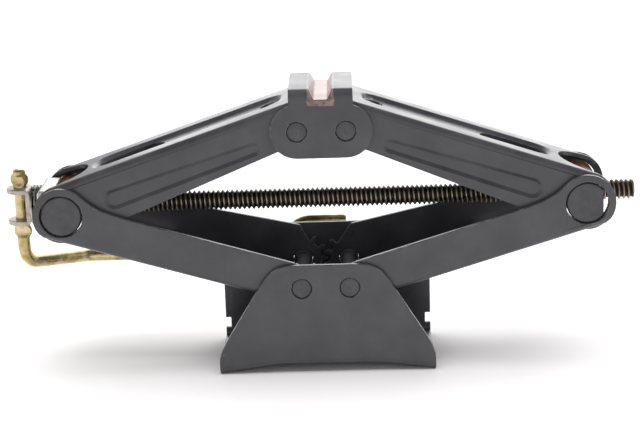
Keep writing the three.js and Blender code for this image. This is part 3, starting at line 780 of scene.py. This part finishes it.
@dataclass
class Arms:
    """The four folded arms. Lengths are in millimetres, along an arm from its trunnion (u),
    across it (y) and away from its open side (w)."""

    length: float = 155.5
    edge: float = 0.4
    sheet: float = 3.0
    upper_face: float = 28.6
    web_face: float = 18.0
    recess_depth: float = 2.2
    recess_floor: float = 11.2
    recess_rim: float = 13.8
    recess_start: float = 38.5
    recess_end: float = 138.0
    floor_lines: tuple[float, ...] = (-8.0, -4.0, 4.0, 8.0)
    bead_depth: float = 1.6
    bead_start: float = 34.4
    bead_end: float = 126.6
    bead_drop: float = 1.7
    bead_slope: float = 2.2
    bead_side_nearest: float = 3.0
    bead_side_farthest: float = 7.0
    web_thickness: float = 3.2
    wall_thickness: float = 6.0

    def build(self) -> None:
        """Makes and dresses the arms."""
        for hand in ("left", "right"):
            node = f"lower_arm_{hand}"
            lower = settle(merged(node), f"lower_folded_arm_{hand}", self.edge)
            finished(lower, f"lower_{hand}", Slot.PAINT, (node,), STOVE_ENAMEL, ENAMEL_EDGE_WITH_PAINTED_HIGHLIGHT)
            node = f"upper_arm_{hand}"
            origin, along, out = self._upper_frame(hand)
            shape = merged(node)
            self._slope_beads(shape, origin, along, out)
            self._press_web(shape, origin, along, out)
            upper = settle(shape, f"upper_folded_arm_{hand}", self.edge)
            finished(upper, f"upper_{hand}", Slot.PAINT, (node,), STOVE_ENAMEL, ENAMEL_EDGE_WITH_PAINTED_HIGHLIGHT)

    def _upper_frame(self, hand: str) -> tuple[np.ndarray, np.ndarray, np.ndarray]:
        """Where an upper arm lies.

        Args:
            hand: "left" or "right".

        Returns:
            The trunnion's middle in metres, the unit vector to the head pin, and the unit
            vector out of the web.
        """
        pin = np.array(middle_of(f"head_pin_{hand}"))
        side = -1 if hand == "left" else 1
        height = middle_of("nut_trunnion").z
        rise = pin[2] - height
        run = math.sqrt((self.length * MM) ** 2 - rise**2)
        origin = np.array((pin[0] + side * run, 0.0, height))
        along = (pin - origin) / (self.length * MM)
        along[1] = 0.0
        out = np.array((-abs(along[2]) * -side, 0.0, abs(along[0])))
        return origin, along, out

    def _slope_beads(
        self, shape: bmesh.types.BMesh, origin: np.ndarray, along: np.ndarray, out: np.ndarray
    ) -> None:
        """Slopes the sides of the pressed-in beads.

        Each point at the foot of a bead's side is drawn towards the bead's middle line by
        the slope's width: p' = c + (p - c) (1 - slope / |p - c|), with c the nearest point
        of that line.
        """
        points = np.array([vertex.co for vertex in shape.verts])
        local = (points - origin) / MM
        u, y, w = local @ along, np.abs(local[:, 1]), local @ out
        level = np.minimum(
            np.abs(y - self.upper_face + self.bead_depth),
            np.abs(y - self.upper_face + self.bead_depth + self.sheet),
        )
        off_u = u - np.clip(u, self.bead_start, self.bead_end)
        off_w = w + self.bead_drop
        reach = np.hypot(off_u, off_w)
        foot = (level < 0.05) & (reach > self.bead_side_nearest) & (reach < self.bead_side_farthest)
        share = np.where(foot, self.bead_slope / np.maximum(reach, 1.0), 0.0) * MM
        shift = (share * off_u)[:, None] * along + (share * off_w)[:, None] * out
        self._move(shape, points - shift)

    def _move(self, shape: bmesh.types.BMesh, points: np.ndarray) -> None:
        """Puts a mesh's vertices at new points, all at once."""
        mesh = bpy.data.meshes.new("moved")
        shape.to_mesh(mesh)
        mesh.vertices.foreach_set("co", points.ravel())
        shape.clear()
        shape.from_mesh(mesh)
        bpy.data.meshes.remove(mesh)

    def _press_web(
        self, shape: bmesh.types.BMesh, origin: np.ndarray, along: np.ndarray, out: np.ndarray
    ) -> None:
        """Presses the long recess into the web.

        With d the distance to the recess's middle line, a point of the web sinks by
        depth x s(q), where q = (rim - d) / (rim - floor) held between 0 and 1, and
        s(q) = q^2 (3 - 2q).
        """
        slopes = np.linspace(self.recess_floor, self.recess_rim, 5)
        cross = np.concatenate([-slopes, slopes, self.floor_lines])
        nose = np.linspace(0, self.recess_rim, 9)
        lengthwise = np.concatenate([self.recess_start - nose, self.recess_end + nose])
        planes = [(origin + (0, y * MM, 0), (0, 1, 0)) for y in cross]
        planes += [(origin + along * u * MM, along) for u in lengthwise]
        for point, normal in planes:
            web = self._web_faces(shape, origin, out)
            bmesh.ops.bisect_plane(shape, geom=web, plane_co=point, plane_no=normal, dist=1e-7)
        points = np.array([vertex.co for vertex in shape.verts])
        local = (points - origin) / MM
        u, y, w = local @ along, local[:, 1], local @ out
        past = u - np.clip(u, self.recess_start, self.recess_end)
        q = (self.recess_rim - np.hypot(past, y)) / (self.recess_rim - self.recess_floor)
        q = np.clip(q, 0, 1)
        depth = self.recess_depth * q**2 * (3 - 2 * q)
        inside = w > self.web_face - self.web_thickness
        inside &= np.abs(y) < self.upper_face - self.wall_thickness
        self._move(shape, points - (depth * inside * MM)[:, None] * out)
        bmesh.ops.recalc_face_normals(shape, faces=shape.faces)

    def _web_faces(
        self, shape: bmesh.types.BMesh, origin: np.ndarray, out: np.ndarray
    ) -> list[Any]:
        """The faces, edges and vertices of a mesh that lie in its web."""
        level = (self.web_face - self.web_thickness) * MM
        start, normal = Vector(origin), Vector(out)
        verts = [v for v in shape.verts if (v.co - start).dot(normal) > level]
        inside = set(verts)
        edges = [e for e in shape.edges if e.verts[0] in inside and e.verts[1] in inside]
        faces = [f for f in shape.faces if all(v in inside for v in f.verts)]
        return verts + edges + faces


# ---- Screw, trunnions and bearing -----------------------------------------


@dataclass
class ScrewDrive:
    """The lead screw with its collar, and the two trunnions that it passes through."""

    crest: float = 6.45
    depth: float = 1.6
    pitch: float = 3.0
    flat: float = 0.14
    plain: float = 42.0
    tail_radius: float = 4.0
    tail_length: float = 3.0
    tail_chamfer: float = 0.4
    shoulder_chamfer: float = 0.5
    end_chamfer: float = 1.2
    end_length: float = 1.0
    rows_per_pitch: int = 8
    around: int = 24
    trunnion_edge: float = 0.5
    end_face: float = 31.0

    def build(self) -> None:
        """Makes and dresses the screw, the collar and both trunnions."""
        finished(self._thread(), "screw", Slot.STEEL, ("lead_screw",), OILED_THREAD_WITH_PAINTED_CREST_HIGHLIGHT)
        collar = put("pinned_collar", washer("screw_collar", 0.6, 40))
        finished(collar, "screw", Slot.STEEL, ("screw_collar",), GREASED_STEEL)
        self._trunnion("bearing_trunnion", "bearing_barrel", "bearing")
        self._trunnion("nut_trunnion", "nut_barrel", "nut")

    def _thread(self) -> bpy.types.Object:
        """The screw.

        At angle a and place x the radius is crest - depth x g, where g rises from 0 to 1
        as |2 f - 1| goes from flat to 1 - flat, and f is the fraction of x / pitch - a / 2 pi.
        The depth fades in over one pitch after the plain shank. The attribute "crest"
        holds how near each point is to a crest, where the oil is rubbed off and where the
        finish paints a highlight.

        Returns:
            The screw's object.
        """
        low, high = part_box("lead_screw")
        start, end = low.x / MM, high.x / MM
        shoulder = start + self.tail_length
        plain = start + self.plain
        tail = np.array(
            [
                (0.0, start),
                (self.tail_radius - self.tail_chamfer, start),
                (self.tail_radius, start + self.tail_chamfer),
                (self.tail_radius, shoulder),
                (self.crest - self.shoulder_chamfer, shoulder),
            ]
        )
        last = end - self.end_length
        count = int((last - plain) / self.pitch * self.rows_per_pitch)
        body = np.linspace(plain, last, count)
        shank = shoulder + self.shoulder_chamfer
        along = np.concatenate([tail[:, 1], [shank], body, [end, end]])
        tip = self.crest - self.end_chamfer
        limit = np.concatenate([tail[:, 0], np.full(count + 1, self.crest), [tip, 0]])
        angle = np.linspace(0, 2 * np.pi, self.around, endpoint=False)
        f = (along[:, None] / self.pitch - angle / (2 * np.pi)) % 1
        g = np.clip((np.abs(2 * f - 1) - self.flat) / (1 - 2 * self.flat), 0, 1)
        fade = np.clip((along - plain) / self.pitch, 0, 1) * (along <= last)
        radius = limit[:, None] - self.depth * fade[:, None] * g
        radius[-1] = 0
        centre = np.array((0.0, 0.0, middle_of("lead_screw").z))
        x = np.broadcast_to(along[:, None], radius.shape)
        ring = np.stack([x, radius * np.cos(angle), radius * np.sin(angle)], -1)
        screw = put("rolled_lead_screw", skin(ring * MM + centre), 70)
        points = np.empty(len(screw.data.vertices) * 3)
        screw.data.vertices.foreach_get("co", points)
        height = np.linalg.norm((points.reshape(-1, 3) - centre)[:, 1:], axis=1) / MM
        # Near a crest the oil is rubbed off, and the bright steel there is also a painted
        # highlight.
        crest = np.clip((height - self.crest + self.depth) / self.depth, 0, 1) ** 3
        screw.data.attributes.new("crest", "FLOAT", "POINT").data.foreach_set("value", crest)
        return screw

    def _trunnion(self, node: str, name: str, body: str) -> None:
        """Breaks a trunnion's edges and gives its oversprayed ends their own finish."""
        piece = settle(merged(node), name, self.trunnion_edge, 2)
        centres = np.empty(len(piece.data.polygons) * 3)
        piece.data.polygons.foreach_get("center", centres)
        at_end = np.abs(centres.reshape(-1, 3)[:, 1]) > self.end_face * MM
        piece.data.polygons.foreach_set("material_index", at_end.astype(np.int32))
        # The third finish, on the broken edges, is flaked paint with a painted highlight on the
        # chamfer.
        finishes = (GREASED_STEEL, OVERSPRAYED_END, FLAKED_CHAMFER_WITH_PAINTED_HIGHLIGHT)
        finished(piece, body, Slot.STEEL, (node,), *finishes)


@dataclass
class ThrustBearing:
    """The block, the two races, the cage and the ring of balls at the crank's end."""

    ball_radius: float = 1.2
    balls: int = 12
    block_edge: float = 0.7

    def build(self) -> None:
        """Makes and dresses the bearing's pieces."""
        block = settle(merged("thrust_block"), "zinc_thrust_block", self.block_edge, 0)
        finished(block, "bearing", Slot.BRIGHT, ("thrust_block",), BRIGHT_ZINC)
        inner = put("inner_race_washer", self._race("thrust_race_inner"))
        finished(inner, "bearing", Slot.GREY, ("thrust_race_inner",), BEARING_STEEL)
        outer = put("outer_race_washer", self._race("thrust_race_outer"))
        finished(outer, "screw", Slot.GREY, ("thrust_race_outer",), BEARING_STEEL)
        cage = settle(merged("thrust_ball_cage"), "pressed_ball_cage", 0.1, 0)
        finished(cage, "bearing", Slot.GREY, ("thrust_ball_cage",), DULL_ZINC)
        nodes = tuple(f"thrust_ball_{number + 1}" for number in range(self.balls))
        balls = put("bearing_balls", self._ring_of_balls(nodes))
        finished(balls, "bearing", Slot.BRIGHT, nodes, BEARING_STEEL)

    def _race(self, node: str) -> Surface:
        """A flat race with finely rounded edges."""
        return washer(node, 0.3, 48)

    def _ring_of_balls(self, nodes: tuple[str, ...]) -> Surface:
        """One small sphere at each CAD ball: radius r sin p at r cos p, for p from 0 to pi."""
        polar = np.linspace(0, np.pi, 9)
        profile = np.column_stack([np.sin(polar), -np.cos(polar)]) * self.ball_radius
        profile[[0, -1], 0] = 0
        return gather([lathe(profile, Axis.X, middle_of(node), 12) for node in nodes])


# ---- Crank ----------------------------------------------------------------


@dataclass
class Crank:
    """The strip yoke and the bent rod that hinges in it. Route points are in millimetres
    from the bearing trunnion's middle."""

    rod_radius: float = 4.0
    axis: float = -29.8
    top: float = 23.2
    turn: float = -38.2
    drop: float = -46.7
    setback: float = 42.0
    diagonal: float = 34.3
    grip_start: float = 158.0
    grip_rise: float = 18.0
    grip_run: float = 18.0
    grip_setback: float = 48.0
    grip_end: float = 206.0
    bend: float = 14.0
    chamfer: float = 0.8
    yoke_half_height: float = 11.7
    ear_height: float = 7.0
    ear_standoff: float = 1.6
    ear_spread: float = 1.7
    ear_pinch: float = 1.6
    station: float = 0.9
    around: int = 24

    def build(self) -> None:
        """Makes and dresses the yoke and the rod."""
        yoke = settle(merged("crank_yoke"), "strip_yoke", 0.4, 0)
        finished(yoke, "screw", Slot.GREY, ("crank_yoke",), DULL_ZINC)
        rod = put("bent_crank_rod", self._rod(), 50)
        finished(rod, "crank", Slot.YELLOW, ("crank_rod",), YELLOW_CHROMATE)

    def _rod(self) -> Surface:
        """The rod, with its two pinched ears.

        Its middle line is the softened route, taken at equal steps. A section has half
        axes radius + spread x e across and radius - pinch x e in thickness, where
        e = sqrt(1 - q^2) and q is the distance to an ear's middle over half its height.

        Returns:
            Its vertices and faces.
        """
        x, grip = self.axis, self.drop + self.grip_rise
        route = np.array(
            [
                (x, 0, self.top),
                (x, 0, self.turn),
                (x + self.diagonal, self.setback, self.drop),
                (x + self.grip_start, self.setback, self.drop),
                (x + self.grip_start + self.grip_run, self.grip_setback, grip),
                (x + self.grip_end, self.grip_setback, grip),
            ]
        )
        line = soften(route.astype(float), self.bend, 16)
        run = np.concatenate([[0], np.cumsum(np.linalg.norm(np.diff(line, axis=0), axis=1))])
        inner = np.arange(self.chamfer, run[-1] - self.chamfer, self.station)
        reach = np.concatenate([[0, 0], inner, [run[-1], run[-1]]])
        centre = np.column_stack([np.interp(reach, run, axis) for axis in line.T])
        ahead = np.column_stack([np.interp(reach + 0.5, run, axis) for axis in line.T])
        behind = np.column_stack([np.interp(reach - 0.5, run, axis) for axis in line.T])
        heading = ahead - behind
        heading /= np.linalg.norm(heading, axis=1, keepdims=True)
        thick = np.array((0.0, 1.0, 0.0)) - heading[:, 1:2] * heading
        thick /= np.linalg.norm(thick, axis=1, keepdims=True)
        wide = np.cross(thick, heading)
        ear_middle = self.yoke_half_height + self.ear_standoff + self.ear_height / 2
        q = (np.abs(centre[:, 2]) - ear_middle) / (self.ear_height / 2)
        on_leg = reach < self.top - self.turn - self.bend
        ear = np.sqrt(np.clip(1 - q**2, 0, 1)) * on_leg
        shrink = np.ones(len(reach))
        shrink[[0, -1]] = 0
        shrink[[1, -2]] = 1 - self.chamfer / self.rod_radius
        across = (self.rod_radius + self.ear_spread * ear) * shrink
        through = (self.rod_radius - self.ear_pinch * ear) * shrink
        angle = np.linspace(0, 2 * np.pi, self.around, endpoint=False)
        points = centre[:, None]
        points = points + (across[:, None] * np.cos(angle))[..., None] * wide[:, None]
        points = points + (through[:, None] * np.sin(angle))[..., None] * thick[:, None]
        origin = np.array(
            (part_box("crank_rod")[0].x - (x - self.rod_radius - self.ear_spread) * MM, 0.0, 0.0)
        )
        origin[2] = middle_of("lead_screw").z
        return skin(points * MM + origin)


# ---- Studio ---------------------------------------------------------------


@dataclass(frozen=True)
class Softbox:
    """A square area light that faces the jack."""

    name: str
    place: tuple[float, float, float]
    width: float
    power: float
    mirrored: bool

    def hang(self, target: Vector) -> None:
        """Adds the light, turned to the target."""
        lamp = bpy.data.lights.new(self.name, "AREA")
        lamp.shape = "SQUARE"
        lamp.size = self.width
        lamp.energy = self.power
        holder = bpy.data.objects.new(self.name, lamp)
        holder.location = self.place
        holder.visible_glossy = self.mirrored
        holder.rotation_euler = (target - holder.location).to_track_quat("-Z", "Y").to_euler()
        bpy.context.scene.collection.objects.link(holder)


@dataclass
class Studio:
    """The pale floor, the even daylight, the softboxes and the camera."""

    floor_half: float = 4.0
    daylight: float = 0.9
    lens: float = 99.27
    distance: float = 1.1215
    elevation: float = 15.2
    bearing: float = -0.88
    roll: float = -1.76
    target: tuple[float, float, float] = (-0.00274, 0.0, 0.0892)
    softboxes: tuple[Softbox, ...] = (
        Softbox("overhead_softbox", (0.0, 0.1, 1.9), 2.4, 60.0, False),
        Softbox("back_softbox", (0.2, 2.0, 0.9), 1.8, 15.0, True),
    )

    def build(self) -> None:
        """Sets up everything round the jack."""
        self._floor()
        for softbox in self.softboxes:
            softbox.hang(Vector(self.target))
        self._daylight()
        bpy.context.scene.view_settings.view_transform = "Standard"
        self._camera()

    def _daylight(self) -> None:
        """A white room whose ceiling is dark, so that only level walls mirror in the enamel."""
        world = bpy.data.worlds.new("white_room_with_dark_ceiling")
        world.use_nodes = True
        tree = world.node_tree
        background = tree.nodes["Background"]
        way = add_node(tree, "ShaderNodeTexCoord", {}).outputs["Generated"]
        height = add_node(tree, "ShaderNodeSeparateXYZ", {0: way}).outputs[2]
        ramp = add_node(tree, "ShaderNodeValToRGB", {"Fac": height})
        walls, ceiling = ramp.color_ramp.elements
        walls.position, walls.color = 0.3, (1, 1, 1, 1)
        ceiling.position, ceiling.color = 0.75, (0.1, 0.1, 0.11, 1)
        tree.links.new(ramp.outputs["Color"], background.inputs["Color"])
        background.inputs["Strength"].default_value = self.daylight
        bpy.context.scene.world = world

    def _floor(self) -> None:
        """A pale matt sheet under the feet, marked as stage."""
        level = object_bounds()[0].z
        half = self.floor_half
        square = ((-half, -half), (half, -half), (half, half), (-half, half))
        corners = [(x, y, level) for x, y in square]
        mesh = bpy.data.meshes.new("pale_floor")
        mesh.from_pydata(corners, [], [(0, 1, 2, 3)])
        floor = bpy.data.objects.new("pale_floor", mesh)
        bpy.context.scene.collection.objects.link(floor)
        mesh.materials.append(MATT_PAPER.material())
        floor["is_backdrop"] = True

    def _camera(self) -> None:
        """The camera. It looks along f = (sin b cos e, cos b cos e, -sin e), with bearing b
        and elevation e, from its distance, rolled about f."""
        e, b, roll = (math.radians(v) for v in (self.elevation, self.bearing, self.roll))
        forward = Vector((math.sin(b) * math.cos(e), math.cos(b) * math.cos(e), -math.sin(e)))
        right = forward.cross(Vector((0, 0, 1))).normalized()
        up = right.cross(forward)
        right, up = (
            right * math.cos(roll) + up * math.sin(roll),
            up * math.cos(roll) - right * math.sin(roll),
        )
        lens = bpy.data.cameras.new("studio_camera")
        lens.lens = self.lens
        lens.sensor_width = 36
        lens.clip_start = 0.01
        camera = bpy.data.objects.new("studio_camera", lens)
        turn = Matrix((right, up, -forward)).transposed()
        place = Vector(self.target) - forward * self.distance
        camera.matrix_world = Matrix.Translation(place) @ turn.to_4x4()
        bpy.context.scene.collection.objects.link(camera)
        bpy.context.scene.camera = camera


def main() -> None:
    """Builds the jack's pieces in order, then the studio."""
    logging.basicConfig(level=logging.INFO, format="%(message)s")
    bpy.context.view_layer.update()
    Brackets().build()
    PivotPins().build()
    Arms().build()
    ScrewDrive().build()
    ThrustBearing().build()
    Crank().build()
    Studio().build()


if __name__ == "__main__":
    main()
